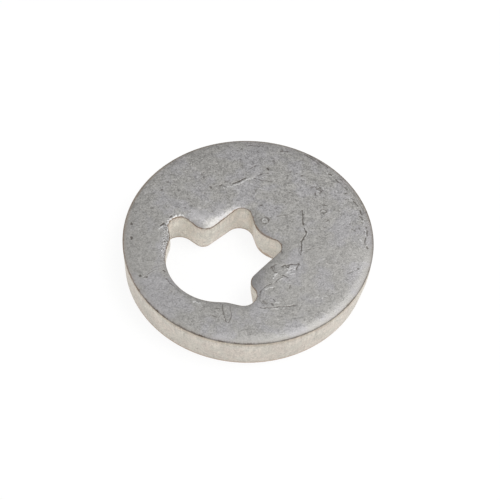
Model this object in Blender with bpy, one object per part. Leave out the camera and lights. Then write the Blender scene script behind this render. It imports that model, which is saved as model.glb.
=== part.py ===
"""A thick steel washer, blanked and pierced from plate in one piece, with an off-centre lobed hole.

Four lobes reach out from a round bore and three teeth stand between them. The punched side is up: its edges
are drawn down in a smooth roll, the wall below is a straight sheared land, and under that the metal has
broken away at a slight taper and a slight lean.

Millimetres throughout, and metres in the finished mesh. The origin is the centre of the underside.
"""

import math
from collections import namedtuple

import bmesh
import bpy

MM = 0.001

# Plate and outline
DISC_RADIUS = 16.0
THICKNESS = 5.0

# Rolled upper edges, from the flat face down to the wall
RIM_ROLL_WIDTH = 1.05
HOLE_ROLL_WIDTH = 0.90
ROLL_DEPTH = 0.30

# Sheared wall
LAND_DEPTH = 1.9
RIM_TAPER = 0.22
HOLE_TAPER = 0.60
RIM_LEAN = (-0.22, -0.19)
HOLE_LEAN = (-0.25, -0.35)
BURR_ROUND = 0.12

# The round bore that the lobes and teeth are set out from, on a bearing from the disc's centre
BORE_OFFSET = 5.07
BORE_BEARING = 225.0
BORE_RADIUS = 6.70
RUN_OUT = 0.06

# Facets
RIM_SEGMENTS = 192
ARC_STEP = 6.0
ROLL_STEPS = 7

# A lobe opens the hole outwards and a tooth fills it. The bearing is seen from the bore's centre, and the
# rise is how far the arc's centre lies outside the bore's circle.
Feature = namedtuple("Feature", "bearing rise radius")
LOWER_LOBE = Feature(-58.7, -0.25, 1.60)
LOWER_TOOTH = Feature(-30.3, -0.12, 1.53)
RIGHT_LOBE = Feature(15.5, 0.08, 1.29)
MIDDLE_TOOTH = Feature(40.8, 3.53, 3.66)
TOP_LOBE = Feature(68.1, 0.30, 1.32)
UPPER_TOOTH = Feature(108.9, -0.05, 1.90)
LEFT_LOBE = Feature(139.9, 0.11, 1.51)

# Each end of the bore's own arc runs into the next lobe over a small round shoulder.
LEFT_SHOULDER_BEARING = 161.7
LEFT_SHOULDER_RADIUS = 1.30
LOWER_SHOULDER_BEARING = -82.2
LOWER_SHOULDER_RADIUS = 1.78

STEEL_COLOUR = (0.36, 0.36, 0.355, 1.0)
STEEL_ROUGHNESS = 0.42

# One arc of the hole: its centre, its radius and its hand, which is 1 for a lobe and -1 for a tooth.
Arc = namedtuple("Arc", "x y radius hand")


def polar(centre, bearing, distance):
    """The point at a bearing in degrees and a distance from a centre."""
    turn = math.radians(bearing)
    return centre[0] + distance * math.cos(turn), centre[1] + distance * math.sin(turn)


def spacing(one, other):
    """Distance between the centres of two arcs."""
    return math.hypot(other.x - one.x, other.y - one.y)


def hole_arcs():
    """The arcs of the hole at its sheared land, anticlockwise, each tangent to a line to the next."""
    bore = polar((0.0, 0.0), BORE_BEARING, BORE_OFFSET)

    def feature(shape, hand):
        return Arc(*polar(bore, shape.bearing, BORE_RADIUS + shape.rise), shape.radius, hand)

    def shoulder(bearing, radius):
        return Arc(*polar(bore, bearing, BORE_RADIUS + radius + RUN_OUT), radius, -1)

    arcs = [
        Arc(*bore, BORE_RADIUS, 1),
        shoulder(LOWER_SHOULDER_BEARING, LOWER_SHOULDER_RADIUS),
        feature(LOWER_LOBE, 1),
        feature(LOWER_TOOTH, -1),
        feature(RIGHT_LOBE, 1),
        feature(MIDDLE_TOOTH, -1),
        feature(TOP_LOBE, 1),
        feature(UPPER_TOOTH, -1),
        feature(LEFT_LOBE, 1),
        shoulder(LEFT_SHOULDER_BEARING, LEFT_SHOULDER_RADIUS),
    ]
    return limit_teeth(arcs)


def limit_teeth(arcs):
    """Tooth roundings kept small enough to leave a line of RUN_OUT to the lobe on each side."""
    fitted = []
    for index, arc in enumerate(arcs):
        if arc.hand < 0:
            beside = (arcs[index - 1], arcs[(index + 1) % len(arcs)])
            room = min(spacing(arc, lobe) - lobe.radius - RUN_OUT for lobe in beside)
            arc = arc._replace(radius=min(arc.radius, room))
        fitted.append(arc)
    return fitted


def grown(arcs, cut):
    """The same chain of arcs cut further into the metal all round."""
    return [arc._replace(radius=arc.radius + arc.hand * cut) for arc in arcs]


def leaving_normal(one, other):
    """Angle of the right-hand normal of the tangent line that runs from one arc to the next."""
    heading = math.atan2(other.y - one.y, other.x - one.x)
    swing = math.asin((one.hand * one.radius - other.hand * other.radius) / spacing(one, other))
    return heading + swing - math.pi / 2


def arc_ends(arcs):
    """Start angle and signed turn of each arc, seen from its own centre."""
    normals = [leaving_normal(a, arcs[(i + 1) % len(arcs)]) for i, a in enumerate(arcs)]
    ends = []
    for index, arc in enumerate(arcs):
        flip = 0.0 if arc.hand > 0 else math.pi
        turn = (arc.hand * (normals[index] - normals[index - 1])) % math.tau
        ends.append((normals[index - 1] + flip, arc.hand * turn))
    return ends


def hole_outline(arcs, counts):
    """Points round the hole, with a set number of steps on each arc."""
    points = []
    for arc, (start, turn), count in zip(arcs, arc_ends(arcs), counts):
        for step in range(count + 1):
            angle = start + turn * step / count
            points.append((arc.x + arc.radius * math.cos(angle), arc.y + arc.radius * math.sin(angle)))
    return points


def rim_outline(radius):
    """Points round the disc."""
    return [polar((0.0, 0.0), 360.0 * i / RIM_SEGMENTS, radius) for i in range(RIM_SEGMENTS)]


def wall_levels():
    """Heights down a wall from its top, each with its share of the roll and of the break-out below the land."""
    levels = []
    for step in range(ROLL_STEPS + 1):
        angle = math.pi / 2 * step / ROLL_STEPS
        height = THICKNESS - ROLL_DEPTH * (1 - math.cos(angle))
        levels.append((height, 1 - math.sin(angle), 0.0, 0.0))
    levels.append((THICKNESS - ROLL_DEPTH - LAND_DEPTH, 0.0, 0.0, 0.0))
    levels.append((BURR_ROUND, 0.0, 1.0, 0.0))
    levels.append((0.3 * BURR_ROUND, 0.0, 1.0, 0.3 * BURR_ROUND))
    levels.append((0.0, 0.0, 1.0, BURR_ROUND))
    return levels


def add_ring(mesh, points, height, shift):
    """One closed ring of edges at a height, shifted sideways."""
    across, along = shift
    verts = [mesh.verts.new(((x + across) * MM, (y + along) * MM, height * MM)) for x, y in points]
    return [mesh.edges.new((verts[i - 1], verts[i])) for i in range(len(verts))]


def add_wall(mesh, outline_at, lean):
    """A wall lofted through its rings, from the upper face to the underside. Returns its two end rings."""
    rings = []
    for height, roll, broken, rounding in wall_levels():
        shift = (lean[0] * broken, lean[1] * broken)
        rings.append(add_ring(mesh, outline_at(roll, broken, rounding), height, shift))
    for upper, lower in zip(rings, rings[1:]):
        bmesh.ops.bridge_loops(mesh, edges=upper + lower)
    return rings[0], rings[-1]


def washer_mesh():
    """The whole solid: rim wall, hole wall and the two flat faces between them."""
    arcs = hole_arcs()
    counts = [max(3, round(abs(math.degrees(turn)) / ARC_STEP)) for _, turn in arc_ends(arcs)]

    def rim_at(roll, broken, rounding):
        return rim_outline(DISC_RADIUS - RIM_ROLL_WIDTH * roll - RIM_TAPER * broken - rounding)

    def hole_at(roll, broken, rounding):
        cut = HOLE_ROLL_WIDTH * roll + HOLE_TAPER * broken + rounding
        return hole_outline(grown(arcs, cut), counts)

    mesh = bmesh.new()
    rim_top, rim_bottom = add_wall(mesh, rim_at, RIM_LEAN)
    hole_top, hole_bottom = add_wall(mesh, hole_at, HOLE_LEAN)
    bmesh.ops.triangle_fill(mesh, edges=rim_top + hole_top, use_beauty=True)
    bmesh.ops.triangle_fill(mesh, edges=rim_bottom + hole_bottom, use_beauty=True)
    bmesh.ops.recalc_face_normals(mesh, faces=mesh.faces)
    data = bpy.data.meshes.new("washer")
    mesh.to_mesh(data)
    mesh.free()
    return data


def steel():
    """Bare rolled plate, dull grey."""
    material = bpy.data.materials.new("steel_plate")
    material.use_nodes = True
    shader = material.node_tree.nodes["Principled BSDF"]
    shader.inputs["Base Color"].default_value = STEEL_COLOUR
    shader.inputs["Metallic"].default_value = 1.0
    shader.inputs["Roughness"].default_value = STEEL_ROUGHNESS
    return material


def clear_scene():
    """Removes whatever objects the file opened with."""
    for item in list(bpy.data.objects):
        bpy.data.objects.remove(item, do_unlink=True)


def main():
    clear_scene()
    parts = bpy.data.collections.new("lobed_washer")
    bpy.context.scene.collection.children.link(parts)
    washer = bpy.data.objects.new("washer", washer_mesh())
    washer.data.materials.append(steel())
    washer.data.shade_smooth()
    washer.data.set_sharp_from_angle(angle=math.radians(40))
    parts.objects.link(washer)


main()
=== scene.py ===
"""Looks of the lobed washer: a blanked steel disc with a keyed hole, its tool marks and its wear.

The washer is worked out in millimetres and made in metres, and lengths on the panel are in Blender's unit.
Bearings are degrees anticlockwise from +X, seen from above.
"""

import math
import random
from collections import namedtuple
from types import SimpleNamespace

import bmesh
import bpy
import numpy as np
from bpy.props import FloatProperty, FloatVectorProperty, IntProperty, PointerProperty
from mathutils import Matrix, Vector, noise


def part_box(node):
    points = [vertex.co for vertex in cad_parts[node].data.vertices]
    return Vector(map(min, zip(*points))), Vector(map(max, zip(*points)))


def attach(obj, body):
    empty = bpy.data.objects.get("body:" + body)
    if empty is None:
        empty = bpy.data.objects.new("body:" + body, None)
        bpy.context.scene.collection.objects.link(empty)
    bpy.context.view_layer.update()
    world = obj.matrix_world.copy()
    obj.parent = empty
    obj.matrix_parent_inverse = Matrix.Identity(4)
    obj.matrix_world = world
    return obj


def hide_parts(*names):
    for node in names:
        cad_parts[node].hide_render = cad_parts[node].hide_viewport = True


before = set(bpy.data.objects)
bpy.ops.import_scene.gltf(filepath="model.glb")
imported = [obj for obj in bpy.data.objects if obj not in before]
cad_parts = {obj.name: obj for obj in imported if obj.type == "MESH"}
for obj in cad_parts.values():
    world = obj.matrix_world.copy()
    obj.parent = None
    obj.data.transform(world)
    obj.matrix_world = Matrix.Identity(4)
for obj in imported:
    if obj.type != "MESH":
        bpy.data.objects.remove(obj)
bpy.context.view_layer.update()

bl_info = {
    "name": "Lobed Washer",
    "version": (1, 0, 0),
    "blender": (4, 5, 0),
    "location": "3D View > Sidebar > Washer",
    "description": "Models a blanked steel washer with a keyed hole, and the stage it lies on",
    "category": "Object",
}

MM = 0.001
LOW, HIGH = (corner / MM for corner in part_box("washer"))

# One arc of the hole: its centre, its radius and its hand, which is 1 for a lobe and -1 for a tooth.
Arc = namedtuple("Arc", "x y radius hand")

# One mark on the upper face: half its width, its share of the full depth or height, and its path
Stroke = namedtuple("Stroke", "width depth points")

# The round bore that the lobes and teeth are set out from
BORE_OFFSET = 5.07
BORE_BEARING = 225.0
BORE_RADIUS = 6.70
RUN_OUT = 0.06

# Bearing from the bore's centre, rise of the arc's centre above the bore's circle, and radius
LOWER_LOBE = (-58.7, -0.25, 1.60)
LOWER_TOOTH = (-30.3, -0.12, 1.53)
RIGHT_LOBE = (15.5, 0.08, 1.29)
MIDDLE_TOOTH = (40.8, 3.53, 3.66)
TOP_LOBE = (68.1, 0.30, 1.32)
UPPER_TOOTH = (108.9, -0.05, 1.90)
LEFT_LOBE = (139.9, 0.11, 1.51)

# Bearing and radius of the shoulder at each end of the bore's own arc
LEFT_SHOULDER = (161.7, 1.30)
LOWER_SHOULDER = (-82.2, 1.78)

# Places of the teeth in the chain of arcs, and how much of a tooth's taper the bore and its shoulders take
TEETH = (3, 5, 7)
BORE_TOOTH_SHARE = 0.35

# Points worked out on each arc, and the shares of the ring over which taper and facing are evened out
ARC_POINTS = 60
TAPER_BLEND = 30
FACING_BLEND = 10

# Rounding at the foot of a wall, and the distance to a lip that stands for a face with none near
FOOT_ROUND = 0.12
FAR_FROM_LIP = 3.0

# Depths of the first rings down a wall, and where the even ones start
LAND_DEPTHS = (0.09, 0.18, 0.3, 0.5)
EVEN_DEPTH = 0.8

# Corners closer than this are welded, and a corner this close to the upper face lies on it
WELD = 0.0001
ON_FACE = 0.01

# The lip's rounding lies within this depth
LIP_DEPTH = 0.06

# Spacing of the grid that the rolled edges are worked out on, and the most that an edge can roll
OPEN_STEP = 0.08
MOST_ROLL = 1.5

# Rings beside a lip: how far into the face each one lies, and how far the lip's rounding drops it
LIP_RINGS = ((0.45, 0.0), (0.28, 0.0), (0.16, 0.0), (0.08, 0.0), (0.03, 0.015), (0.0, 0.05))

# Scratches and nicks in the upper face
SCRATCHES = (
    Stroke(0.10, 1.0, ((6.85, 4.29), (6.86, 3.39), (6.90, 2.66), (6.96, 1.86))),
    Stroke(0.10, 1.0, ((7.08, 1.28), (7.34, 0.79), (7.34, 0.36),
                       (7.09, -0.09), (6.92, -0.46), (6.77, -0.82))),
    Stroke(0.09, 0.9, ((6.77, -0.82), (6.79, -1.53), (6.73, -2.38), (6.68, -2.87))),
    Stroke(0.07, 0.7, ((6.54, -0.76), (6.77, -0.78))),
    Stroke(0.09, 0.9, ((3.37, -4.59), (3.65, -4.50))),
    Stroke(0.09, 0.9, ((3.10, -4.88), (3.22, -5.21), (3.34, -5.48))),
    Stroke(0.07, 0.8, ((3.32, -4.79), (3.44, -5.20))),
    Stroke(0.08, 0.8, ((3.45, -5.61), (3.68, -5.73))),
    Stroke(0.09, 0.9, ((4.45, -4.83), (4.62, -4.58), (4.96, -4.54),
                       (5.53, -4.42), (6.09, -4.43), (6.49, -4.21))),
    Stroke(0.09, 0.9, ((4.73, -4.65), (5.14, -4.93))),
    Stroke(0.08, 0.8, ((6.41, -4.28), (6.32, -4.63), (6.16, -5.19))),
    Stroke(0.07, 0.7, ((4.86, -5.12), (5.03, -5.32))),
    Stroke(0.09, 0.9, ((4.42, -6.10), (4.76, -6.28), (5.10, -6.40))),
    Stroke(0.07, 0.7, ((4.43, -6.37), (3.98, -6.67), (3.71, -7.02), (3.49, -7.30))),
    Stroke(0.08, 0.7, ((3.10, -7.45), (2.55, -7.75), (2.23, -8.10), (1.90, -8.39), (1.80, -8.79))),
    Stroke(0.07, 0.7, ((5.40, -7.53), (5.29, -7.94))),
    Stroke(0.08, 0.7, ((1.87, -10.99), (2.42, -11.01), (3.19, -10.92),
                       (3.96, -10.75), (4.95, -10.66), (6.05, -10.47))),
    Stroke(0.08, 0.4, ((1.72, -9.85), (2.07, -10.36), (2.40, -10.40), (2.84, -10.25))),
    Stroke(0.06, 0.4, ((7.68, -1.98), (8.25, -1.80), (9.29, -1.46))),
    Stroke(0.10, 1.0, ((-2.42, 8.05), (-1.84, 8.42), (-1.20, 8.80), (-0.75, 9.14))),
    Stroke(0.09, 0.9, ((-4.18, 7.65), (-3.86, 7.81))),
    Stroke(0.08, 0.8, ((0.38, 9.20), (0.92, 9.06), (1.45, 8.84), (2.78, 8.83))),
    Stroke(0.08, 0.8, ((-0.02, 10.99), (0.70, 11.51))),
    Stroke(0.08, 0.7, ((0.83, 9.71), (1.42, 9.88))),
    Stroke(0.08, 0.8, ((8.02, 8.00), (8.35, 8.17))),
    Stroke(0.09, 0.9, ((8.68, 7.73), (9.14, 8.10))),
    Stroke(0.08, 0.8, ((9.01, 7.75), (9.34, 7.48))),
    Stroke(0.08, 0.8, ((8.46, 7.04), (8.64, 6.80))),
    Stroke(0.09, 0.7, ((6.99, 13.80), (7.81, 13.28), (8.62, 12.62), (9.22, 11.98))),
    Stroke(0.08, 0.7, ((7.81, 13.67), (8.62, 13.09), (9.43, 12.49), (10.23, 11.66))),
    Stroke(0.07, 0.6, ((9.46, 4.53), (9.85, 4.38))),
    Stroke(0.08, 0.6, ((8.19, 12.96), (8.50, 12.74))),
    Stroke(0.09, 0.8, ((9.11, 12.54), (9.48, 12.40))),
    Stroke(0.11, 1.0, ((10.34, 10.51), (10.63, 10.28))),
    Stroke(0.11, 1.0, ((11.28, 9.58), (11.52, 9.28), (11.82, 9.07))),
    Stroke(0.08, 0.7, ((12.11, 8.70), (12.58, 8.18), (12.76, 7.73))),
    Stroke(0.09, 0.9, ((13.27, 6.46), (13.50, 6.28))),
    Stroke(0.09, 0.9, ((13.56, 6.07), (13.79, 5.74), (14.08, 5.35))),
    Stroke(0.10, 1.0, ((14.32, 4.64), (14.46, 4.05), (14.63, 3.89))),
    Stroke(0.09, 0.8, ((14.53, 3.39), (14.63, 3.15))),
    Stroke(0.09, 0.9, ((14.48, 2.76), (14.66, 2.56))),
    Stroke(0.08, 0.7, ((15.20, 1.45), (15.18, 0.58))),
    Stroke(0.08, 0.6, ((14.79, 1.28), (14.80, 1.00))),
    Stroke(0.06, 0.5, ((11.41, 10.14), (12.24, 9.25), (12.83, 8.51), (13.41, 7.46),
                       (13.98, 6.43), (14.55, 5.25), (14.99, 4.23))),
    Stroke(0.08, 0.7, ((9.10, 7.98), (9.46, 7.69))),
    Stroke(0.08, 0.8, ((9.50, 5.19), (9.98, 5.21))),
    Stroke(0.08, 0.7, ((9.44, 4.06), (9.97, 4.06))),
    Stroke(0.08, 0.8, ((-10.41, 2.02), (-9.96, 2.22))),
    Stroke(0.10, 1.0, ((-11.29, 0.66), (-10.86, 1.14))),
    Stroke(0.07, 0.5, ((-12.61, -7.38), (-12.05, -6.74), (-11.33, -6.09))),
    Stroke(0.09, 0.9, ((-10.37, -6.10), (-10.09, -6.25))),
    Stroke(0.07, 0.7, ((-9.86, -7.40), (-9.49, -7.81))),
    Stroke(0.07, 0.7, ((-9.36, -7.96), (-8.76, -8.48))),
    Stroke(0.08, 0.6, ((-2.74, -10.76), (-2.65, -11.58), (-2.57, -12.05), (-2.33, -12.74), (-2.16, -13.20),
                       (-1.91, -13.31), (-1.77, -12.95), (-1.65, -12.36), (-1.62, -12.00))),
    Stroke(0.06, 0.5, ((-1.62, -12.00), (-1.78, -11.30), (-1.83, -10.83))),
    Stroke(0.08, 0.7, ((-4.06, -12.31), (-3.70, -12.47), (-3.35, -12.56))),
    Stroke(0.10, 0.7, ((-3.72, -11.29), (-3.22, -11.32))),
    Stroke(0.08, 0.7, ((3.40, -9.71), (3.61, -9.96))),
    Stroke(0.06, 0.5, ((-8.46, -8.78), (-7.80, -9.35))),
    Stroke(0.10, 0.9, ((15.00, 2.02), (15.09, 1.85))),
    Stroke(0.09, 0.8, ((15.13, 1.39), (15.12, 0.68))),
    Stroke(0.09, 0.8, ((14.93, 0.19), (14.84, -0.52))),
    Stroke(0.11, 1.0, ((15.02, -1.14), (15.07, -1.37))),
    Stroke(0.10, 0.9, ((13.49, 1.38), (13.61, 1.23))),
    Stroke(0.09, 0.8, ((13.17, 1.55), (13.30, 1.48))),
    Stroke(0.09, 0.8, ((13.00, 2.39), (12.99, 2.18))),
    Stroke(0.09, 0.9, ((14.14, 1.81), (14.19, 1.61))),
    Stroke(0.10, 0.9, ((14.25, 3.60), (14.44, 3.45))),
    Stroke(0.11, 1.0, ((9.23, 12.54), (9.50, 12.34))),
    Stroke(0.11, 1.0, ((7.20, 13.69), (7.47, 13.57))),
    Stroke(0.07, 0.6, ((7.89, 7.96), (8.09, 8.31), (8.29, 8.16))),
    Stroke(0.08, 0.7, ((8.42, 8.42), (8.62, 8.01), (8.95, 7.86))),
    Stroke(0.08, 0.7, ((9.01, 8.11), (9.28, 7.96), (9.45, 7.63))),
    Stroke(0.10, 0.9, ((8.51, 7.12), (8.54, 6.89))),
    Stroke(0.07, 0.6, ((9.34, 7.37), (9.21, 7.11))),
    Stroke(0.08, 0.6, ((9.46, 5.27), (9.89, 5.17))),
    Stroke(0.07, 0.6, ((9.13, 4.20), (9.33, 4.46))),
    Stroke(0.08, 0.6, ((9.39, 3.89), (9.68, 3.82))),
    Stroke(0.07, 0.6, ((9.85, 4.44), (10.02, 4.09))),
    Stroke(0.07, 0.5, ((9.67, 2.86), (9.93, 2.94))),
    Stroke(0.07, 0.4, ((9.77, 2.38), (10.23, 2.75))),
    Stroke(0.07, 0.6, ((9.59, 1.54), (9.77, 1.61))),
    Stroke(0.06, 0.35, ((1.86, -8.66), (1.75, -9.03), (1.75, -9.75))),
    Stroke(0.10, 0.9, ((-5.35, 7.39), (-5.15, 7.20))),
    Stroke(0.08, 0.7, ((-3.43, 8.39), (-2.87, 8.59))),
    Stroke(0.09, 0.7, ((-0.55, 14.93), (0.32, 14.92), (1.40, 14.85))),
    Stroke(0.10, 0.8, ((3.74, 14.18), (4.69, 14.13))),
    Stroke(0.12, 1.0, ((2.11, 10.99), (2.25, 10.79))),
    Stroke(0.09, 0.7, ((1.16, 9.93), (1.50, 10.05))),
    Stroke(0.09, 0.9, ((-10.35, 2.05), (-9.99, 2.36))),
    Stroke(0.12, 0.9, ((-15.02, 0.95), (-14.92, 0.64))),
    Stroke(0.13, 0.9, ((-14.84, -1.34), (-14.68, -1.64))),
    Stroke(0.07, 0.5, ((12.52, -5.45), (13.09, -5.08), (13.72, -4.74))),
    Stroke(0.12, 0.5, ((2.13, -10.03), (2.61, -10.41))),
    Stroke(0.11, 0.6, ((3.25, -10.39), (3.38, -10.47))),
    Stroke(0.10, 0.6, ((4.29, -1.28), (4.31, -1.82))),
    Stroke(0.10, 0.8, ((4.24, -2.29), (4.30, -2.67))),
    Stroke(0.06, 0.5, ((6.45, -1.07), (6.47, -2.63))),
    Stroke(0.08, 0.8, ((2.94, -5.11), (3.18, -4.80), (3.13, -5.33), (3.45, -5.68))),
    Stroke(0.08, 0.8, ((4.36, -4.73), (4.73, -4.50), (5.24, -4.61), (5.11, -4.88))),
    Stroke(0.10, 0.8, ((6.29, -4.17), (6.48, -4.39))),
    Stroke(0.08, 0.5, ((3.61, 3.05), (4.34, 3.21), (5.25, 3.47))),
)

# Metal thrown up beside the scratches and in the ring mark, and the torn edge round the left lobe
RIDGES = (
    Stroke(0.08, 0.5, ((7.14, 1.43), (7.49, 0.87), (7.49, 0.29), (7.21, -0.23))),
    Stroke(0.08, 0.5, ((6.92, -0.96), (6.93, -1.67), (6.88, -2.51))),
    Stroke(0.10, 0.9, ((3.85, -5.86), (3.46, -6.15), (3.34, -6.57))),
    Stroke(0.09, 0.8, ((5.20, -5.24), (5.53, -4.95), (5.98, -4.78))),
    Stroke(0.09, 0.8, ((4.98, -5.80), (5.31, -5.51), (5.60, -5.35))),
    Stroke(0.08, 0.6, ((5.26, -5.94), (5.88, -5.75))),
    Stroke(0.08, 0.6, ((4.43, -6.53), (4.04, -6.82), (3.77, -7.18))),
    Stroke(0.09, 0.8, ((3.23, -7.92), (2.78, -8.07), (2.40, -8.36))),
    Stroke(0.08, 0.5, ((8.37, -9.16), (8.70, -9.01), (8.92, -9.26))),
    Stroke(0.08, 0.5, ((9.25, -9.38), (9.59, -9.03), (9.81, -8.89))),
    Stroke(0.10, 0.9, ((-3.51, 7.40), (-2.60, 7.66), (-1.69, 8.05), (-0.79, 8.70), (-0.21, 9.13))),
    Stroke(0.08, 0.7, ((-0.08, 9.00), (0.51, 9.24), (1.44, 9.38))),
    Stroke(0.10, 0.9, ((10.44, 10.16), (10.70, 10.09))),
    Stroke(0.10, 0.8, ((13.03, 6.56), (13.32, 6.32))),
    Stroke(0.10, 0.8, ((14.19, -0.12), (14.40, -0.25))),
    Stroke(0.09, 0.7, ((14.60, 2.95), (14.71, 2.74))),
    Stroke(0.08, 0.6, ((2.63, -11.12), (3.83, -10.97), (5.04, -10.81))),
    Stroke(0.08, 0.6, ((3.66, -10.11), (4.22, -10.14))),
    Stroke(0.14, 1.0, ((-10.46, 1.59), (-10.13, 1.86), (-9.80, 2.14),
                       (-9.30, 2.51), (-8.73, 2.64), (-8.44, 2.29))),
    Stroke(0.12, 0.9, ((-11.44, 0.18), (-11.12, 0.53), (-10.69, 0.95), (-10.40, 1.37))),
    Stroke(0.12, 1.0, ((-9.22, 2.23), (-8.58, 2.21))),
    Stroke(0.13, 1.0, ((-10.42, 1.66), (-9.98, 1.98), (-9.62, 2.14))),
    Stroke(0.10, 0.7, ((-10.37, -0.07), (-10.37, 0.58), (-10.19, 1.17), (-9.82, 1.67))),
    Stroke(0.08, 0.8, ((14.47, 2.91), (14.71, 2.96), (14.83, 2.66), (14.69, 2.28))),
    Stroke(0.08, 0.7, ((14.97, 1.46), (15.01, 0.67))),
    Stroke(0.11, 0.9, ((14.32, -0.19), (14.39, -0.28))),
    Stroke(0.10, 0.7, ((13.12, 6.38), (13.25, 6.26))),
    Stroke(0.10, 0.7, ((10.09, 10.66), (10.36, 10.51))),
    Stroke(0.08, 0.7, ((8.29, 8.44), (8.55, 8.60), (8.75, 8.25))),
    Stroke(0.09, 0.7, ((8.75, 7.59), (9.01, 7.44))),
    Stroke(0.08, 0.7, ((9.48, 8.14), (9.62, 7.81))),
    Stroke(0.08, 0.8, ((9.34, 4.13), (9.58, 4.33), (9.78, 4.14))),
    Stroke(0.08, 0.7, ((9.91, 3.79), (10.07, 3.96))),
    Stroke(0.12, 0.9, ((-6.40, -10.52), (-5.97, -10.54), (-5.47, -10.69))),
    Stroke(0.09, 0.7, ((-5.83, -10.82), (-5.39, -11.00))),
    Stroke(0.10, 1.0, ((4.87, -5.23), (5.30, -4.90))),
    Stroke(0.09, 0.9, ((5.00, -5.67), (5.62, -5.34), (5.99, -4.94))),
    Stroke(0.08, 0.8, ((2.28, 2.28), (2.15, 2.54), (1.87, 2.56), (1.71, 2.30), (1.86, 2.05), (2.14, 2.03))),
    Stroke(0.10, 0.9, ((2.60, -0.30), (2.74, -0.16))),
    Stroke(0.09, 0.6, ((2.85, -0.36), (3.20, -0.50), (3.60, -0.60))),
)

# Pits in the upper face
PITS = (
    (2.2, 10.9), (2.2, 10.2), (-6.5, 9.3), (-4.4, 9.5), (-1.6, 12.4), (7.0, 9.2), (6.7, 10.0),
    (-5.3, 7.3), (4.1, 14.2), (-11.7, 6.5), (-11.0, 7.9), (1.5, 4.7), (9.6, 5.2), (12.5, 7.4),
    (12.5, 6.3), (15.1, 2.0), (14.8, -0.7), (15.1, -1.3), (-15.0, 0.7), (-14.8, -1.4), (-12.3, -7.3),
    (-13.1, -7.1), (3.2, -5.4), (13.9, -4.6), (6.6, -0.8),
)

# The mark left by a small ring pressed into the face: its centre, its radius, and its arcs, each with half
# its width, its share of the full depth, its share of the radius and its range of bearings
RING_CENTRE = (2.0, 2.3)
RING_RADIUS = 0.52
RING_ARCS = (
    (0.10, 0.7, 1.0, (-110, 91, 25)),
    (0.09, 0.6, 1.0, (140, 216, 25)),
    (0.07, 0.4, 0.3, (-40, 141, 45)),
)

# Places where the edge is drawn down further, on the flank of the upper tooth and the tip of the lower one:
# bearing and distance from the bore's centre, and how much further
DEEPER_ROLLS = ((99.0, 6.2, 0.8), (-27.0, 6.0, 0.8))
DEEPER_SPREAD = 1.9

# Patches of painted highlight, on the upper tooth's flank and the right rim, and of painted shade, on the
# lower tooth's tip: centre, reach and change of tone
PAINTED_LIGHT_PATCHES = (((-6.5, 2.4), 1.5, 0.28), ((1.2, -6.4), 1.7, -0.14), ((14.4, -3.4), 2.8, 0.14))

# Bearings from the bore's centre between which its edge is rough, and where the roughness fades from
ROUGH_EDGE = (141.0, 206.0, 160.0)

# Run of bearings over which the roughness starts, its reach past the bore, its fade and its fineness
ROUGH_START = 8.0
ROUGH_REACH = 2.4
ROUGH_FADE = 0.6
ROUGH_FINENESS = 2.6

# No mark reaches further from its path than this
MARK_REACH = 0.5

# Where a mark ends, in halves of its width, and how much that swells and shrinks along it
MARK_END = 1.35
MARK_SWELL = 0.7

# Sideways drift of a mark, how fast it changes along it, and the seed that keeps it the same in each run
DRIFT = 0.08
DRIFT_TURNS = 2.5
DRIFT_SEED = 7

# Sizes of the patterns in the steel
PEEL = 0.40
GRAIN = 0.18
FLECK = 0.14
WISP = 0.7
CREASE = 0.55
CLOUD = 3.5
STREAK = 0.5
DRAWN = 0.30
FLUSH = 1.6
PATCH = 1.3

# Distances from the disc's axis between which the hole's finish gives way to the rim's
RIM_SIDE = (13.0, 14.5)

# Places on the hole's wall: the middle tooth, where the brown at the foot reaches higher, and the steep side
# of the top lobe, which is darkened as painted shade
TOOTH_STAIN = (1.9, 0.8)
STEEP_SHADE = (0.35, 3.2)

# What colours are multiplied by at the far rim, where the brown is partly painted shade, under a lip and on
# the steep side of the top lobe, where it is painted shade, and in the warm patches of a wall
RIM_TINT = (0.85, 0.745, 0.64)
SHADE_TINT = (0.82, 0.765, 0.69)
FLUSH_TINT = (1.015, 0.985, 0.985)

# The photograph's width in pixels, the pixel where the middle of the underside shows, and the sensor's width
PICTURE_WIDTH = 500.0
MIDDLE_SHOWN = (247.53, 256.20)
SENSOR_WIDTH = 36.0

# Gap below the underside, and how much of the floor's white is its own glow
FLOOR_GAP = 0.02
FLOOR_GLOW = 0.87


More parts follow.
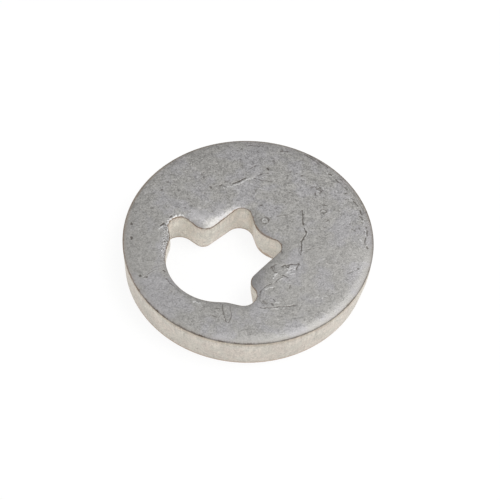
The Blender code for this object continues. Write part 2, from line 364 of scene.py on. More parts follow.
class WasherSizes(bpy.types.PropertyGroup):
    """Sizes of the washer."""

    disc_radius: FloatProperty(
        name="Disc radius", description="Outer radius",
        default=HIGH.x * MM, unit="LENGTH", precision=5)
    thickness: FloatProperty(
        name="Thickness", description="Plate thickness",
        default=HIGH.z * MM, unit="LENGTH", precision=5)
    roll_depth: FloatProperty(
        name="Roll depth", description="Drop of a straight rolled edge",
        default=0.28 * MM, unit="LENGTH", precision=5)
    roll_reach: FloatProperty(
        name="Roll reach", description="How far a rolled edge reaches into the face",
        default=0.9 * MM, unit="LENGTH", precision=5)
    roll_power: FloatProperty(
        name="Roll power", description="How fast a rolled edge steepens", default=1.6)
    land: FloatProperty(
        name="Land", description="Depth of the straight sheared wall",
        default=2.2 * MM, unit="LENGTH", precision=5)
    rim_taper: FloatProperty(
        name="Rim taper", description="Break-out of the rim's wall",
        default=0.22 * MM, unit="LENGTH", precision=5)
    hole_taper: FloatProperty(
        name="Hole taper", description="Break-out of the hole's wall",
        default=0.55 * MM, unit="LENGTH", precision=5)
    tooth_taper: FloatProperty(
        name="Tooth taper", description="Break-out of a tooth's wall",
        default=0.65 * MM, unit="LENGTH", precision=5)
    rim_lean: FloatVectorProperty(
        name="Rim lean", description="Shift of the rim's foot", size=2,
        default=(-0.22 * MM, -0.19 * MM), unit="LENGTH", precision=5)
    hole_lean: FloatVectorProperty(
        name="Hole lean", description="Shift of the hole's foot", size=2,
        default=(-0.25 * MM, -0.35 * MM), unit="LENGTH", precision=5)
    face_drop: FloatProperty(
        name="Face drop", description="Clearance of the worn face",
        default=0.02 * MM, unit="LENGTH", precision=5)
    scratch_depth: FloatProperty(
        name="Scratch depth", description="Depth of the deepest scratch",
        default=0.035 * MM, unit="LENGTH", precision=5)
    ridge_height: FloatProperty(
        name="Ridge height", description="Height of thrown-up metal",
        default=0.02 * MM, unit="LENGTH", precision=5)
    scuff_height: FloatProperty(
        name="Scuff height", description="Relief of the rough edge",
        default=0.045 * MM, unit="LENGTH", precision=5)
    mark_band: FloatProperty(
        name="Mark band", description="Reach of the fine mesh beside a mark",
        default=0.2 * MM, unit="LENGTH", precision=5)
    ring_steps: IntProperty(name="Ring steps", description="Corners round each ring", default=580)
    face_steps: IntProperty(name="Face steps", description="Bands across the upper face", default=58)
    wall_steps: IntProperty(name="Wall steps", description="Rings down a wall", default=9)
    underside_steps: IntProperty(name="Underside steps", description="Bands across the underside", default=6)


class SteelColours(bpy.types.PropertyGroup):
    """Colours of the steel."""

    face: FloatVectorProperty(
        name="Face", description="Rolled plate", subtype="COLOR",
        default=(0.316, 0.309, 0.297))
    cool: FloatVectorProperty(
        name="Cool", description="Cooler patches of the plate", subtype="COLOR",
        default=(0.309, 0.303, 0.306))
    wall: FloatVectorProperty(
        name="Wall", description="Sheared rim", subtype="COLOR",
        default=(0.585, 0.55, 0.49))
    # Lighter than the rim's wall, as painted light that makes up for the shade inside the hole
    bore: FloatVectorProperty(
        name="Bore", description="Pierced wall of the hole", subtype="COLOR",
        default=(0.69, 0.66, 0.595))
    # The dark line along the rim is partly painted shade; the specks on the walls are stains
    stain_and_shade: FloatVectorProperty(
        name="Stain", description="Stain along the rim and specks on the walls", subtype="COLOR",
        default=(0.105, 0.082, 0.062))
    # Also painted highlight on the ridges and painted glints on the rough edge
    bright: FloatVectorProperty(
        name="Bright", description="Rubbed metal", subtype="COLOR",
        default=(0.62, 0.62, 0.62))
    # The line along the hole's lip is partly stain and partly painted shade
    brown: FloatVectorProperty(
        name="Brown", description="Stain along the hole's lip", subtype="COLOR",
        default=(0.21, 0.155, 0.115))
    rust: FloatVectorProperty(
        name="Rust", description="Foot of a wall", subtype="COLOR",
        default=(0.50, 0.37, 0.27))
    dark: FloatVectorProperty(
        name="Dark", description="Metal in a mark", subtype="COLOR",
        default=(0.085, 0.075, 0.065))


class StageSettings(bpy.types.PropertyGroup):
    """The floor, the lamp and the camera."""

    floor_radius: FloatProperty(
        name="Floor radius", description="Radius of the floor",
        default=900.0 * MM, unit="LENGTH", precision=3)
    camera_elevation: FloatProperty(
        name="Camera elevation", description="Height of the view above the horizon",
        subtype="ANGLE", default=math.radians(54.64))
    camera_roll: FloatProperty(
        name="Camera roll", description="Turn of the picture about the view",
        subtype="ANGLE", default=math.radians(2.62))
    camera_distance: FloatProperty(
        name="Camera distance", description="Distance to the camera in disc radii", default=8.216)
    lens: FloatProperty(
        name="Lens", description="Focal length", default=72.0, unit="CAMERA")
    key_power: FloatProperty(
        name="Key power", description="Power of the overhead lamp", default=0.33, unit="POWER")
    key_size: FloatProperty(
        name="Key size", description="Side of the overhead lamp",
        default=130.0 * MM, unit="LENGTH", precision=3)
    key_place: FloatVectorProperty(
        name="Key place", description="Place of the overhead lamp, which points at the washer",
        default=(112.0 * MM, -12.0 * MM, 229.0 * MM), unit="LENGTH", precision=3)


def in_mm(length):
    """A length in millimetres, in single precision as Blender keeps it."""
    return float(np.float32(length / MM))


def values_of(group):
    """The values of a group of properties, with its lengths in millimetres."""
    values = {}
    for name in group.__annotations__:
        value = getattr(group, name)
        if group.bl_rna.properties[name].unit == "LENGTH":
            value = tuple(map(in_mm, value)) if hasattr(value, "__len__") else in_mm(value)
        values[name] = value
    return SimpleNamespace(**values)


# Shader building


class Socket:
    """An output of a node that takes Python's arithmetic."""

    def __init__(self, graph, output):
        self.graph = graph
        self.output = output

    def __add__(self, other):
        return self.graph.maths("ADD", self, other)

    def __sub__(self, other):
        return self.graph.maths("SUBTRACT", self, other)

    def __rsub__(self, other):
        return self.graph.maths("SUBTRACT", other, self)

    def __mul__(self, other):
        return self.graph.maths("MULTIPLY", self, other)

    __radd__ = __add__
    __rmul__ = __mul__


class Graph:
    """The nodes of a material or of the world."""

    def __init__(self, owner):
        owner.use_nodes = True
        self.tree = owner.node_tree
        self.tree.nodes.clear()

    def node(self, kind, settings, inputs, output=0):
        """Adds a node, sets it up, joins its inputs and returns one of its outputs."""
        made = self.tree.nodes.new(kind)
        for name, value in settings.items():
            setattr(made, name, value)
        for name, value in inputs.items():
            self.join(made.inputs[name], value)
        return Socket(self, made.outputs[output])

    def join(self, socket, value):
        """Links a socket to an output, or sets its constant."""
        if isinstance(value, Socket):
            self.tree.links.new(value.output, socket)
        elif isinstance(value, (int, float)) and hasattr(socket.default_value, "__len__"):
            socket.default_value = (value,) * len(socket.default_value)
        elif hasattr(value, "__len__") and len(value) == 3 and len(socket.default_value) == 4:
            socket.default_value = (*value, 1.0)
        else:
            socket.default_value = value

    def maths(self, operation, one, other=0.0, clamp=False):
        """Works out one number from one or two."""
        return self.node("ShaderNodeMath", {"operation": operation, "use_clamp": clamp}, {0: one, 1: other})

    def vector(self, operation, one, other=(0.0, 0.0, 0.0), output=0):
        """Works out a vector, or its length, from one or two."""
        return self.node("ShaderNodeVectorMath", {"operation": operation}, {0: one, 1: other}, output)

    def scaled(self, vector, factor):
        """A vector or a colour times a number."""
        return self.node("ShaderNodeVectorMath", {"operation": "SCALE"}, {0: vector, "Scale": factor})

    def blend(self, one, other, factor):
        """Mixes two colours."""
        return self.node("ShaderNodeMix", {"data_type": "RGBA"}, {0: factor, 6: one, 7: other}, output=2)

    def ramp(self, value, low, high):
        """0 below one value and 1 above the other, with an eased run between."""
        inputs = {"Value": value, "From Min": low, "From Max": high}
        return self.node("ShaderNodeMapRange", {"interpolation_type": "SMOOTHSTEP"}, inputs)

    def noise(self, place, size, detail, roughness, stretch=(1.0, 1.0, 1.0), twist=0.0):
        """Grey noise with features of a size in millimetres, about 0.5 on average."""
        scaled = self.vector("MULTIPLY", place, tuple(s / size for s in stretch))
        inputs = {"Vector": scaled, "Scale": 1.0, "Detail": detail, "Roughness": roughness}
        return self.node("ShaderNodeTexNoise", {}, {**inputs, "Distortion": twist})

    def specks(self, place, spacing, radius, share):
        """Round specks of a radius in millimetres, at a share of the places on a loose grid."""
        inputs = {"Vector": self.scaled(place, 1.0 / spacing), "Scale": 1.0}
        away = self.node("ShaderNodeTexVoronoi", {}, inputs, "Distance")
        chance = self.node("ShaderNodeTexVoronoi", {}, inputs, "Color")
        chance = self.node("ShaderNodeSeparateColor", {}, {0: chance}, "Red")
        spot = 1.0 - self.ramp(away, 0.35 * radius / spacing, radius / spacing)
        return spot * self.ramp(chance, 0.95 - share, 1.05 - share)

    def distance(self, place, line=(0.0, 0.0)):
        """Distance from an upright line."""
        away = self.vector("SUBTRACT", place, (*line, 0.0))
        return self.vector("LENGTH", self.vector("MULTIPLY", away, (1.0, 1.0, 0.0)), output=1)

    def tinted(self, colour, tint, factor):
        """A colour multiplied by a tint, as far as a factor goes."""
        return self.blend(colour, self.vector("MULTIPLY", colour, tint), factor)

    def attribute(self, name):
        """A number kept at each corner of the mesh."""
        return self.node("ShaderNodeAttribute", {"attribute_name": name}, {}, "Fac")

    def finish(self, surface, kind="ShaderNodeOutputMaterial"):
        """Joins a shader to the output."""
        output = self.tree.nodes.new(kind)
        self.tree.links.new(surface.output, output.inputs["Surface"])


def steel_signals(graph, sizes):
    """What the steel's looks are worked out from: the place, the marks and the patches of painted light kept
    in the mesh, and noise.
    """
    place = graph.scaled(graph.node("ShaderNodeTexCoord", {}, {}, "Object"), 1.0 / MM)
    across, along, height = (graph.node("ShaderNodeSeparateXYZ", {}, {0: place}, axis) for axis in "XYZ")
    steel = SimpleNamespace(place=place, across=across, along=along, height=height)
    for name in ("cut", "lip", "roll", "scuff", "scratch", "ridge", "rub"):
        setattr(steel, name, graph.attribute(name))

    steel.peel = graph.noise(place, PEEL, 2.0, 0.5, twist=1.2)
    steel.grain = graph.noise(place, GRAIN, 3.0, 0.6, twist=0.8)
    steel.fleck = graph.noise(place, FLECK, 1.0, 0.5)
    steel.cloud = graph.noise(place, CLOUD, 3.0, 0.6)
    steel.streak = graph.noise(place, STREAK, 3.0, 0.55, stretch=(0.22, 1.0, 1.0))
    steel.drawn = graph.noise(place, DRAWN, 3.0, 0.6, stretch=(1.0, 1.0, 0.12))
    steel.pit = graph.specks(place, 0.9, 0.14, 0.35)
    wisp = graph.maths("ABSOLUTE", graph.noise(place, WISP, 1.0, 0.5) - 0.5)
    kept = graph.ramp(graph.noise(place, CREASE, 1.0, 0.5), 0.54, 0.62)
    steel.crease = (1.0 - graph.ramp(wisp, 0.0, 0.035)) * kept

    steel.outside = graph.ramp(graph.distance(place), *RIM_SIDE)
    steel.behind = graph.ramp(along, -8.0, 10.0)
    steel.left = 1.0 - graph.ramp(across, -4.0, 8.0)
    # How far into a rolled edge a place lies: there the grain is evened out and the tone darkened as painted
    # shade
    steel.smooth = graph.ramp(steel.roll, 0.35, 1.1)
    steel.land = graph.ramp(height, sizes.thickness - sizes.land - 0.3, sizes.thickness - sizes.land + 0.3)
    steel.tooth = 1.0 - graph.ramp(graph.distance(place, TOOTH_STAIN), 0.9, 2.0)
    steel.steep = 1.0 - graph.ramp(graph.distance(place, STEEP_SHADE), 0.3, 1.1)
    coarse = 0.83 + 0.40 * graph.ramp(along, -4.0, 8.0) - 0.45 * steel.smooth
    polish = steel.outside * graph.ramp(steel.roll, 0.10, 0.50) * graph.ramp(across - along, 10.0, 18.0)
    steel.coarse = coarse - 0.20 * polish
    return steel


def face_colour(graph, steel, colours):
    """Rolled plate with its cool patches, its browned far rim and its wear, with painted highlights and
    painted shade on its rolled edges and its sides.
    """
    tone = 1.05 * (steel.peel - 0.5) + 1.10 * (steel.grain - 0.5) + 0.20 * (steel.streak - 0.5)
    # The rolled edges are darkened here as painted shade
    tone = 1.0 + tone * steel.coarse + 0.35 * (steel.cloud - 0.5) - 0.10 * steel.smooth
    # Painted highlight along the front-left rim, and the patches of painted highlight and painted shade
    glint = steel.outside * graph.ramp(steel.roll, 0.30, 0.90) * steel.left * (1.0 - steel.behind)
    tone = tone + 0.22 * glint + steel.rub
    # Darker towards the front edge, and darkened towards the far side as painted shade
    front = 1.0 - graph.ramp(steel.along, -14.0, -7.0)
    tone = tone - 0.05 * front - 0.09 * graph.ramp(steel.along, 9.0, 15.0)
    tint = graph.blend(colours.face, colours.cool, graph.ramp(steel.cloud, 0.42, 0.60))
    # A brown stain and haze along the rim's rolled edge, strongest on the far side, where the roll faces away
    # and the darkening is partly painted shade
    edge = steel.outside * graph.ramp(steel.roll, 0.55, 0.95) * (0.15 + 0.85 * steel.behind)
    haze = steel.outside * graph.ramp(steel.roll, 0.02, 0.60) * graph.ramp(steel.cloud, 0.45, 0.62)
    browned_and_shaded = graph.maths("MAXIMUM", edge, 0.25 * haze * steel.behind)
    face = graph.tinted(graph.scaled(tint, tone), RIM_TINT, browned_and_shaded)
    wear = (
        (colours.dark, steel.pit * steel.coarse * 0.5),
        (colours.dark, steel.crease * steel.coarse * 0.35),
        # Bright flecks on the rough edge, partly torn metal and partly painted glints
        (colours.bright, steel.scuff * graph.ramp(steel.fleck, 0.52, 0.60) * 0.6),
        (colours.dark, steel.scuff * (1.0 - graph.ramp(steel.fleck, 0.40, 0.50)) * 0.8),
        # Ridges lightened as painted highlight, where their flanks would catch the light
        (colours.bright, steel.ridge * graph.ramp(steel.grain + steel.peel, 0.80, 1.05) * 0.6),
        (colours.dark, steel.scratch * 0.85),
    )
    for colour, share in wear:
        face = graph.blend(face, colour, share)
    return face


def wall_colour(graph, steel, colours):
    """Sheared and torn metal: mottled and streaked, with painted shade under its lip and on a steep side, and
    brown at its foot.
    """
    mottle = 1.0 + 0.65 * (steel.peel - 0.5) + 0.65 * (steel.grain - 0.5) + 0.40 * (steel.cloud - 0.5)
    mottle = mottle + (0.2 + 0.35 * steel.land) * (steel.drawn - 0.5)
    # The hole's wall takes the lighter bore colour, painted light against the shade inside the hole
    wall = graph.scaled(graph.blend(colours.bore, colours.wall, steel.outside), mottle)
    wall = graph.blend(wall, colours.stain_and_shade, graph.specks(steel.place, 0.8, 0.13, 0.40) * 0.45)
    wall = graph.tinted(wall, FLUSH_TINT, graph.ramp(graph.noise(steel.place, FLUSH, 2.0, 0.5), 0.42, 0.58))
    # Painted shade under the lip and on the steep side of the top lobe
    shade = 1.0 - graph.ramp(steel.lip + 0.5 * (steel.peel - 0.5), 0.10, 1.0)
    wall = graph.tinted(wall, SHADE_TINT, shade * (0.4 + 0.5 * steel.outside))
    wall = graph.tinted(wall, SHADE_TINT, steel.steep * 0.5)
    uneven = (0.3 + 0.8 * steel.tooth) * (steel.peel - 0.5)
    foot = 1.0 - graph.ramp(steel.height + uneven - 0.45 * steel.tooth, 0.16, 0.42)
    return graph.blend(wall, colours.rust, foot * (0.9 - 0.2 * steel.tooth))


def washer_steel(colours, sizes):
    """Rolled plate on the faces, torn metal on the walls, and a dark line along the lip between them, partly
    stain and partly painted shade.
    """
    material = bpy.data.materials.new("washer_steel")
    graph = Graph(material)
    steel = steel_signals(graph, sizes)
    # A dark brown line along the lip, partly stain and partly painted shade of the steep edge; weaker on the
    # rim, most of all on its right
    ragged = steel.lip + 0.30 * (steel.grain - 0.5) + 0.20 * (steel.peel - 0.5) - 0.08 * steel.tooth
    line = 1.0 - graph.ramp(ragged, 0.02 + 0.02 * steel.outside, 0.14 + 0.07 * steel.outside)
    patchy = 0.6 + 0.8 * graph.ramp(graph.noise(steel.place, PATCH, 2.0, 0.5), 0.36, 0.64)
    stain_and_shade = graph.blend(colours.brown, colours.stain_and_shade, steel.outside * graph.ramp(steel.across, -14.5, -11.0))
    strength = 0.80 - steel.outside * (0.38 - 0.28 * steel.left)
    base = graph.blend(face_colour(graph, steel, colours), wall_colour(graph, steel, colours), steel.cut)
    base = graph.blend(base, stain_and_shade, line * patchy * strength)

    rough = 0.50 + 0.20 * (steel.peel - 0.5) + 0.10 * (steel.cloud - 0.5)
    rough = rough + (0.08 * steel.outside - 0.04) * steel.roll + 0.15 * steel.scratch
    rough = rough + steel.cut * (0.14 - 0.08 * steel.land)

    # Relief, in millimetres
    relief = 0.030 * steel.peel + 0.015 * steel.grain - 0.02 * steel.pit - 0.01 * steel.crease
    torn = 0.02 * steel.grain + 0.02 * steel.drawn + 0.03 * (1.0 - steel.land) * steel.peel
    relief = steel.coarse * relief + 0.03 * steel.scuff * steel.fleck + steel.cut * torn
    bump = graph.node("ShaderNodeBump", {}, {"Height": relief, "Distance": MM, "Strength": 1.0})

    metallic = 1.0 - 0.75 * steel.cut - 0.15 * line
    inputs = {"Base Color": base, "Metallic": metallic, "Roughness": rough, "Normal": bump, "IOR": 1.5}
    graph.finish(graph.node("ShaderNodeBsdfPrincipled", {}, inputs))
    return material


# Washer


def polar(centre, bearing, distance):
    """The point at a bearing in degrees and a distance from a centre."""
    turn = math.radians(bearing)
    return centre[0] + distance * math.cos(turn), centre[1] + distance * math.sin(turn)


BORE = polar((0.0, 0.0), BORE_BEARING, BORE_OFFSET)


def feature(shape, hand):
    """A lobe or a tooth, set out from the bore."""
    bearing, rise, radius = shape
    return Arc(*polar(BORE, bearing, BORE_RADIUS + rise), radius, hand)


def shoulder(shape):
    """A small rounding against the outside of the bore's circle."""
    bearing, radius = shape
    return Arc(*polar(BORE, bearing, BORE_RADIUS + radius + RUN_OUT), radius, -1)


def spacing(one, other):
    """Distance between the centres of two arcs."""
    return math.hypot(other.x - one.x, other.y - one.y)


def hole_arcs():
    """The arcs of the hole at its lip, anticlockwise, each tangent to a line to the next."""
    arcs = [
        Arc(*BORE, BORE_RADIUS, 1),
        shoulder(LOWER_SHOULDER),
        feature(LOWER_LOBE, 1),
        feature(LOWER_TOOTH, -1),
        feature(RIGHT_LOBE, 1),
        feature(MIDDLE_TOOTH, -1),
        feature(TOP_LOBE, 1),
        feature(UPPER_TOOTH, -1),
        feature(LEFT_LOBE, 1),
        shoulder(LEFT_SHOULDER),
    ]
    fitted = []
    for index, arc in enumerate(arcs):
        if arc.hand < 0:
            beside = (arcs[index - 1], arcs[(index + 1) % len(arcs)])
            room = min(spacing(arc, lobe) - lobe.radius - RUN_OUT for lobe in beside)
            arc = arc._replace(radius=min(arc.radius, room))
        fitted.append(arc)
    return fitted


def leaving_normal(one, other):
    """Angle of the right-hand normal of the tangent line that runs from one arc to the next."""
    heading = math.atan2(other.y - one.y, other.x - one.x)
    swing = math.asin((one.hand * one.radius - other.hand * other.radius) / spacing(one, other))
    return heading + swing - math.pi / 2


def tooth_share(index, arc):
    """How much of a tooth's taper the wall of an arc takes."""
    if index in TEETH:
        return 1.0
    return BORE_TOOTH_SHARE if arc.hand < 0 or index == 0 else 0.0


def evenly_along(points, count):
    """Rows of a closed path resampled at even steps of its first two columns."""
    points = np.array(points)
    closed = np.vstack([points, points[:1]])
    steps = np.hypot(*np.diff(closed[:, :2], axis=0).T)
    run = np.concatenate([[0.0], np.cumsum(steps)])
    wanted = np.linspace(0.0, run[-1], count, endpoint=False)
    return np.column_stack([np.interp(wanted, run, column) for column in closed.T])


def hole_lip(count):
    """Corners round the hole's lip, the direction into the metal at each, and how far it is on a tooth."""
    arcs = hole_arcs()
    normals = [leaving_normal(a, arcs[(i + 1) % len(arcs)]) for i, a in enumerate(arcs)]
    rows = []
    for index, arc in enumerate(arcs):
        turn = arc.hand * ((arc.hand * (normals[index] - normals[index - 1])) % math.tau)
        tooth = tooth_share(index, arc)
        for share in np.linspace(0.0, 1.0, ARC_POINTS):
            angle = normals[index - 1] + turn * share
            into = np.array([math.cos(angle), math.sin(angle)])
            place = np.array((arc.x, arc.y)) + arc.hand * arc.radius * into
            rows.append((*place, *into, tooth))
    rows = evenly_along(rows, count)
    rows[:, 2:4] /= np.hypot(rows[:, 2], rows[:, 3])[:, None]
    return rows[:, :2], rows[:, 2:4], round_average(rows[:, 4], count // TAPER_BLEND)


def round_average(values, reach):
    """A running average round a closed ring."""
    window = np.hanning(2 * reach + 3)[1:-1]
    wrapped = np.concatenate([values[-reach:], values, values[:reach]])
    return np.convolve(wrapped, window / window.sum(), mode="valid")


def smooth_step(value):
    """0 up to nothing and 1 from one on, with an eased run between."""
    value = np.clip(value, 0.0, 1.0)
    return value * value * (3.0 - 2.0 * value)


# One ring of the washer's skin: its path, its height, and how it is marked for the material.
Ring = namedtuple("Ring", "path height cut lip")


def ring_edges(mesh, ring):
    """The edges of a closed ring of corners."""
    return [mesh.edges.get((vert, ring[index - 1])) for index, vert in enumerate(ring)]


def place_ring(verts, layers, ring):
    """Moves a ring of corners onto its path and marks them."""
    for vert, (x, y) in zip(verts, ring.path):
        vert.co = (x, y, ring.height)
        vert[layers["cut"]] = ring.cut
        vert[layers["lip"]] = ring.lip


def skin(rings):
    """A closed skin, extruded from each ring to the next and welded where the last meets the first."""
    mesh = bmesh.new()
    layers = {name: mesh.verts.layers.float.new(name) for name in ("cut", "lip")}
    verts = bmesh.ops.create_circle(mesh, segments=len(rings[0].path), radius=1.0)["verts"]
    place_ring(verts, layers, rings[0])
    for ring in [*rings[1:], rings[0]]:
        made = bmesh.ops.extrude_edge_only(mesh, edges=ring_edges(mesh, verts))["geom"]
        fresh = {item for item in made if isinstance(item, bmesh.types.BMVert)}
        verts = [next(e.other_vert(v) for e in v.link_edges if e.other_vert(v) in fresh) for v in verts]
        place_ring(verts, layers, ring)
    bmesh.ops.remove_doubles(mesh, verts=mesh.verts, dist=WELD)
    bmesh.ops.recalc_face_normals(mesh, faces=mesh.faces)
    return mesh


def wall_rings(path, into, sizes, lean, taper):
    """Rings over the lip, down the land and down the break-out, from the upper face to the underside."""
    rings = []
    for inset, drop in LIP_RINGS:
        rings.append(Ring(path + into * inset, sizes.thickness - drop, 0.0, inset))
    depths = [*LAND_DEPTHS, *np.linspace(EVEN_DEPTH, sizes.thickness - FOOT_ROUND, sizes.wall_steps)]
    depths += [sizes.thickness - 0.3 * FOOT_ROUND, sizes.thickness]
    for depth in depths:
        broken = min(1.0, max(0.0, (depth - sizes.land) / (sizes.thickness - FOOT_ROUND - sizes.land)))
        rounding = max(0.0, depth - sizes.thickness + FOOT_ROUND)
        foot = path + into * (taper * broken + rounding)[:, None] + np.array(lean) * broken
        rings.append(Ring(foot, sizes.thickness - depth, 1.0, depth))
    return rings


def flat_rings(start, end, steps, lip):
    """Rings in even steps across a flat face, without its two ends."""
    for share in np.linspace(0.0, 1.0, steps + 1)[1:-1]:
        yield Ring(start.path * (1.0 - share) + end.path * share, start.height, start.cut, lip)


def rim_facing(lip, radius):
    """Corners round the rim, each one facing a corner of the hole, as seen from the bore's centre."""
    even = np.linspace(0.0, math.tau, len(lip), endpoint=False)
    seen = np.unwrap(np.arctan2(lip[:, 1] - BORE[1], lip[:, 0] - BORE[0]))
    way = even + round_average(seen - even, len(lip) // FACING_BLEND)
    facing = np.column_stack([np.cos(way), np.sin(way)])
    along = facing @ np.array(BORE)
    reach = np.sqrt(along ** 2 + radius ** 2 - BORE_OFFSET ** 2) - along
    return np.array(BORE) + facing * reach[:, None]


def washer_skin(sizes):
    """The washer's surface before its wear, up the hole, across the face, down the rim and back below."""
    lip, into, tooth = hole_lip(sizes.ring_steps)
    rim = rim_facing(lip, sizes.disc_radius)
    inward = -rim / sizes.disc_radius
    hole_taper = sizes.hole_taper + (sizes.tooth_taper - sizes.hole_taper) * tooth
    plain = np.ones(sizes.ring_steps)
    hole = wall_rings(lip, into, sizes, sizes.hole_lean, hole_taper)
    rim = wall_rings(rim, inward, sizes, sizes.rim_lean, sizes.rim_taper * plain)
    face = flat_rings(hole[0], rim[0], sizes.face_steps, FAR_FROM_LIP)
    underside = flat_rings(rim[-1], hole[-1], sizes.underside_steps, FAR_FROM_LIP)
    return skin([*reversed(hole), *face, *rim, *underside])


def inside(x, y, points):
    """Whether each place lies inside a closed path."""
    within = np.zeros(x.shape, bool)
    for (x0, y0), (x1, y1) in zip(points, np.roll(points, -1, axis=0)):
        if y0 != y1:
            crossing = (y < y0) != (y < y1)
            within ^= crossing & (x < x0 + (y - y0) * (x1 - x0) / (y1 - y0))
    return within


def open_share(x, y, sizes):
    """Share of the surroundings of each place that is open air: half at a straight lip, more on a tooth."""
    step = OPEN_STEP
    reach = sizes.disc_radius + 4.0 * sizes.roll_reach
    line = np.arange(-reach, reach + step, step)
    across, along = np.meshgrid(line, line)
    lip = hole_lip(sizes.ring_steps)[0]
    share = (np.hypot(across, along) > sizes.disc_radius) | inside(across, along, lip)
    offsets = np.arange(-3.0 * sizes.roll_reach, 3.0 * sizes.roll_reach, step)
    window = np.exp(-0.5 * (offsets / sizes.roll_reach) ** 2)
    window /= window.sum()
    for axis in (0, 1):
        share = np.apply_along_axis(np.convolve, axis, share.astype(float), window, mode="same")
    column, row = (x + reach) / step, (y + reach) / step
    i, j = row.astype(int), column.astype(int)
    v, u = row - i, column - j
    lower = share[i, j] * (1.0 - u) + share[i, j + 1] * u
    upper = share[i + 1, j] * (1.0 - u) + share[i + 1, j + 1] * u
    return lower * (1.0 - v) + upper * v


def stroke_gap(x, y, points):
    """Distance from each place to a run of straight strokes."""
    nearest = np.full(len(x), np.inf)
    for (x0, y0), (x1, y1) in zip(points, points[1:]):
        run = np.array((x1 - x0, y1 - y0))
        along = np.clip(((x - x0) * run[0] + (y - y0) * run[1]) / (run @ run), 0.0, 1.0)
        nearest = np.minimum(nearest, np.hypot(x - x0 - along * run[0], y - y0 - along * run[1]))
    return nearest


def pressed_marks():
    """Pits and the ring mark, as short strokes."""
    draw = random.Random(7)
    for x, y in PITS:
        yield Stroke(draw.uniform(0.11, 0.17), draw.uniform(0.6, 1.0), ((x, y), (x + 0.05, y)))
    for width, depth, share, bearings in RING_ARCS:
        radius = share * RING_RADIUS
        yield Stroke(width, depth, tuple(polar(RING_CENTRE, bearing, radius) for bearing in range(*bearings)))


def refine(mesh, sizes):
    """Splits the faces under each mark finely enough to carry it."""
    mesh.verts.index_update()
    x, y, z = np.array([vert.co for vert in mesh.verts]).T
    marks = [*SCRATCHES, *RIDGES, *pressed_marks()]
    gap = np.min([stroke_gap(x, y, mark.points) - mark.width for mark in marks], axis=0)
    near = (gap < sizes.mark_band) & (z > sizes.thickness - ON_FACE)
    edges = [edge for edge in mesh.edges if near[edge.verts[0].index] and near[edge.verts[1].index]]
    bmesh.ops.subdivide_edges(mesh, edges=edges, cuts=2, use_grid_fill=True)


def wander(x, y):
    """Places with a small sideways drift, which keeps a mark from running dead straight, and a swelling."""
    noise.seed_set(DRIFT_SEED)
    turned = (Vector((u * DRIFT_TURNS, v * DRIFT_TURNS, 0.0)) for u, v in zip(x, y))
    shift = np.array([noise.noise_vector(place) for place in turned])
    return x + DRIFT * shift[:, 0], y + DRIFT * shift[:, 1], shift[:, 2]


def depth_in(marks, x, y):
    """How deep in a mark each place lies, from 0 to 1."""
    found = np.zeros(len(x))
    gap = np.min([stroke_gap(x, y, mark.points) for mark in marks], axis=0)
    near = np.nonzero(gap < MARK_REACH)[0]
    u, v, swell = wander(x[near], y[near])
    for mark in marks:
        across = stroke_gap(u, v, mark.points) / mark.width
        depth = mark.depth * smooth_step(MARK_END + MARK_SWELL * swell - across)
        found[near] = np.maximum(found[near], depth)
    return found


def mound(x, y, centre, reach):
    """1 at a centre, fading out with the distance from it."""
    return np.exp(-((x - centre[0]) ** 2 + (y - centre[1]) ** 2) / reach ** 2)


def rough_share(x, y, roll):
    """How rough the rolled edge is at each place."""
    start, end, fade = ROUGH_EDGE
    bearing = np.degrees(np.arctan2(y - BORE[1], x - BORE[0])) % 360.0
    along = smooth_step((bearing - start) / ROUGH_START) * smooth_step((end - bearing) / (end - fade))
    away = np.hypot(x - BORE[0], y - BORE[1])
    beside = smooth_step((BORE_RADIUS + ROUGH_REACH - away) / ROUGH_FADE)
    return along * beside * smooth_step((roll - 0.12) / 0.4)


def wear(mesh, sizes):
    """Rolls the edges down, presses the marks into the face, and keeps what the material needs of them."""
    count = len(mesh.vertices)
    places = np.empty(count * 3, np.float32)
    mesh.vertices.foreach_get("co", places)
    places = places.reshape(-1, 3)
    x, y, z = places.T
    on_top = z > sizes.thickness - LIP_DEPTH
    roll = np.clip(2.0 * open_share(x, y, sizes), 0.0, MOST_ROLL)
    down = np.clip((z + sizes.land - sizes.thickness) / (sizes.land - LIP_DEPTH), 0.0, 1.0)
    deeper = np.ones(count)
    for bearing, distance, extra in DEEPER_ROLLS:
        deeper += extra * mound(x, y, polar(BORE, bearing, distance), DEEPER_SPREAD)
    z -= (sizes.face_drop + sizes.roll_depth * deeper * roll ** sizes.roll_power) * down
    scratch = depth_in([*SCRATCHES, *pressed_marks()], x, y) * on_top
    ridge = depth_in(RIDGES, x, y) * on_top
    z -= sizes.scratch_depth * scratch - sizes.ridge_height * ridge
    scuff = rough_share(x, y, roll) * on_top
    for index in np.nonzero(scuff > 0.01)[0]:
        grain = noise.noise(Vector(places[index]) * ROUGH_FINENESS)
        z[index] += sizes.scuff_height * scuff[index] * min(0.5, grain)
    # Patches of painted highlight and painted shade, kept for the material's tone
    rub = np.zeros(count)
    for centre, reach, change in PAINTED_LIGHT_PATCHES:
        rub += change * mound(x, y, centre, reach)
    mesh.vertices.foreach_set("co", places.ravel())
    kept = {"roll": roll, "scratch": scratch, "ridge": ridge, "scuff": scuff, "rub": rub}
    for name, values in kept.items():
        mesh.attributes.new(name, "FLOAT", "POINT").data.foreach_set("value", values.astype(np.float32))


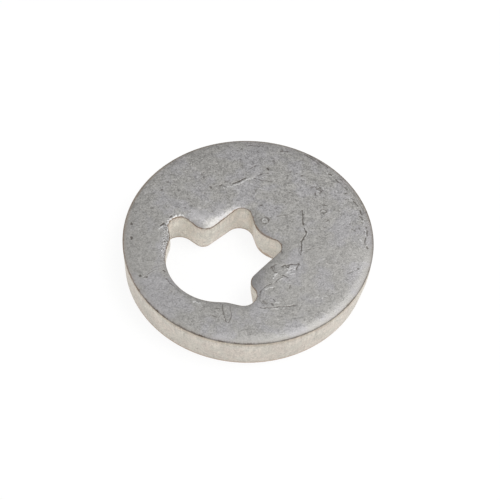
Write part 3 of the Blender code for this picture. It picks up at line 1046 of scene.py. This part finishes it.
class WASHER_OT_body(bpy.types.Operator):
    """Model the washer, with its rolled edges, torn walls and worn face"""

    bl_idname = "washer.body"
    bl_label = "Washer"

    def execute(self, context):
        sizes = values_of(context.scene.washer_sizes)
        built = washer_skin(sizes)
        refine(built, sizes)
        mesh = bpy.data.meshes.new("washer_body")
        built.to_mesh(mesh)
        built.free()
        wear(mesh, sizes)
        mesh.transform(Matrix.Scale(MM, 4))
        mesh.shade_smooth()
        mesh.materials.append(washer_steel(values_of(context.scene.washer_colours), sizes))
        body = bpy.data.objects.new("washer_body", mesh)
        context.scene.collection.objects.link(body)
        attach(body, "root")
        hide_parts("washer")
        return {"FINISHED"}


# Stage


def seen_as_backdrop(graph):
    """1 for the rays that show the backdrop: the camera's own, and those mirrored or bent on the way."""
    kinds = ("Camera", "Glossy", "Transmission")
    camera, glossy, bent = (graph.node("ShaderNodeLightPath", {}, {}, f"Is {kind} Ray") for kind in kinds)
    return graph.maths("ADD", camera + glossy, bent, clamp=True)


def floor_material():
    """A white sweep that shows white to the camera and keeps a soft shadow."""
    material = bpy.data.materials.new("white_sweep")
    graph = Graph(material)
    shade = graph.node("ShaderNodeBsdfDiffuse", {}, {"Color": (0.9, 0.9, 0.9)})
    glow = graph.node("ShaderNodeEmission", {}, {"Color": (1.0, 1.0, 1.0), "Strength": 1.0})
    share = seen_as_backdrop(graph) * FLOOR_GLOW
    graph.finish(graph.node("ShaderNodeMixShader", {}, {0: share, 1: shade, 2: glow}))
    return material


def world_light(world):
    """White where it shows as a backdrop, and a soft light that is stronger overhead."""
    graph = Graph(world)
    way = graph.node("ShaderNodeTexCoord", {}, {}, "Generated")
    rise = graph.node("ShaderNodeSeparateXYZ", {}, {0: way}, "Z")
    dome = 0.70 + 0.20 * graph.ramp(rise, 0.0, 0.85)
    strength = graph.maths("MAXIMUM", seen_as_backdrop(graph), dome)
    light = graph.node("ShaderNodeBackground", {}, {"Color": (1.0, 1.0, 1.0), "Strength": strength})
    graph.finish(light, "ShaderNodeOutputWorld")


def view_axes(stage):
    """The camera's right, up and back directions."""
    rise, roll = stage.camera_elevation, stage.camera_roll
    back = Vector((0.0, -math.cos(rise), math.sin(rise)))
    level = Vector((1.0, 0.0, 0.0))
    upright = back.cross(level)
    right = math.cos(roll) * level + math.sin(roll) * upright
    return right, back.cross(right), back


class WASHER_OT_stage(bpy.types.Operator):
    """Lay the white floor, hang the lamp and set the camera"""

    bl_idname = "washer.stage"
    bl_label = "Stage"

    def execute(self, context):
        scene = context.scene
        stage = scene.washer_stage
        self.lay_floor(scene, stage)
        self.hang_lamp(scene, stage)
        scene.world = scene.world or bpy.data.worlds.new("studio")
        world_light(scene.world)
        self.set_camera(scene, stage)
        scene.view_settings.view_transform = "Standard"
        return {"FINISHED"}

    @staticmethod
    def lay_floor(scene, stage):
        built = bmesh.new()
        bmesh.ops.create_circle(built, cap_ends=True, segments=96, radius=stage.floor_radius)
        mesh = bpy.data.meshes.new("floor")
        built.to_mesh(mesh)
        built.free()
        mesh.transform(Matrix.Translation((0.0, 0.0, (LOW.z - FLOOR_GAP) * MM)))
        mesh.materials.append(floor_material())
        floor = bpy.data.objects.new("floor", mesh)
        scene.collection.objects.link(floor)

    @staticmethod
    def hang_lamp(scene, stage):
        lamp = bpy.data.lights.new("overhead", "AREA")
        lamp.size = stage.key_size
        lamp.energy = stage.key_power
        key = bpy.data.objects.new("overhead", lamp)
        place = Vector(stage.key_place)
        key.matrix_world = Matrix.Translation(place) @ place.to_track_quat("Z", "Y").to_matrix().to_4x4()
        scene.collection.objects.link(key)

    @staticmethod
    def set_camera(scene, stage):
        right, up, back = view_axes(stage)
        distance = stage.camera_distance * scene.washer_sizes.disc_radius
        pixel = distance * SENSOR_WIDTH / stage.lens / PICTURE_WIDTH
        centre = PICTURE_WIDTH / 2
        aim = (right * (centre - MIDDLE_SHOWN[0]) + up * (MIDDLE_SHOWN[1] - centre)) * pixel
        camera = bpy.data.objects.new("camera", bpy.data.cameras.new("camera"))
        camera.data.lens = stage.lens
        camera.data.sensor_width = SENSOR_WIDTH
        camera.data.clip_start = MM
        turn = Matrix((right, up, back)).transposed().to_4x4()
        camera.matrix_world = Matrix.Translation(back * distance + aim) @ turn
        scene.collection.objects.link(camera)
        scene.camera = camera


class WASHER_PT_panel(bpy.types.Panel):
    """Sizes, colours and stage of the washer"""

    bl_label = "Lobed Washer"
    bl_idname = "WASHER_PT_panel"
    bl_space_type = "VIEW_3D"
    bl_region_type = "UI"
    bl_category = "Washer"

    def draw(self, context):
        scene = context.scene
        for group in (scene.washer_sizes, scene.washer_colours, scene.washer_stage):
            box = self.layout.box()
            for name in group.__annotations__:
                box.prop(group, name)
        for operator in OPERATORS:
            self.layout.operator(operator.bl_idname)


OPERATORS = (WASHER_OT_body, WASHER_OT_stage)
CLASSES = (WasherSizes, SteelColours, StageSettings, *OPERATORS, WASHER_PT_panel)


def register():
    for item in CLASSES:
        bpy.utils.register_class(item)
    bpy.types.Scene.washer_sizes = PointerProperty(type=WasherSizes)
    bpy.types.Scene.washer_colours = PointerProperty(type=SteelColours)
    bpy.types.Scene.washer_stage = PointerProperty(type=StageSettings)


def unregister():
    del bpy.types.Scene.washer_stage
    del bpy.types.Scene.washer_colours
    del bpy.types.Scene.washer_sizes
    for item in reversed(CLASSES):
        bpy.utils.unregister_class(item)


def main():
    register()
    bpy.ops.washer.body()
    bpy.ops.washer.stage()


if __name__ == "__main__":
    main()
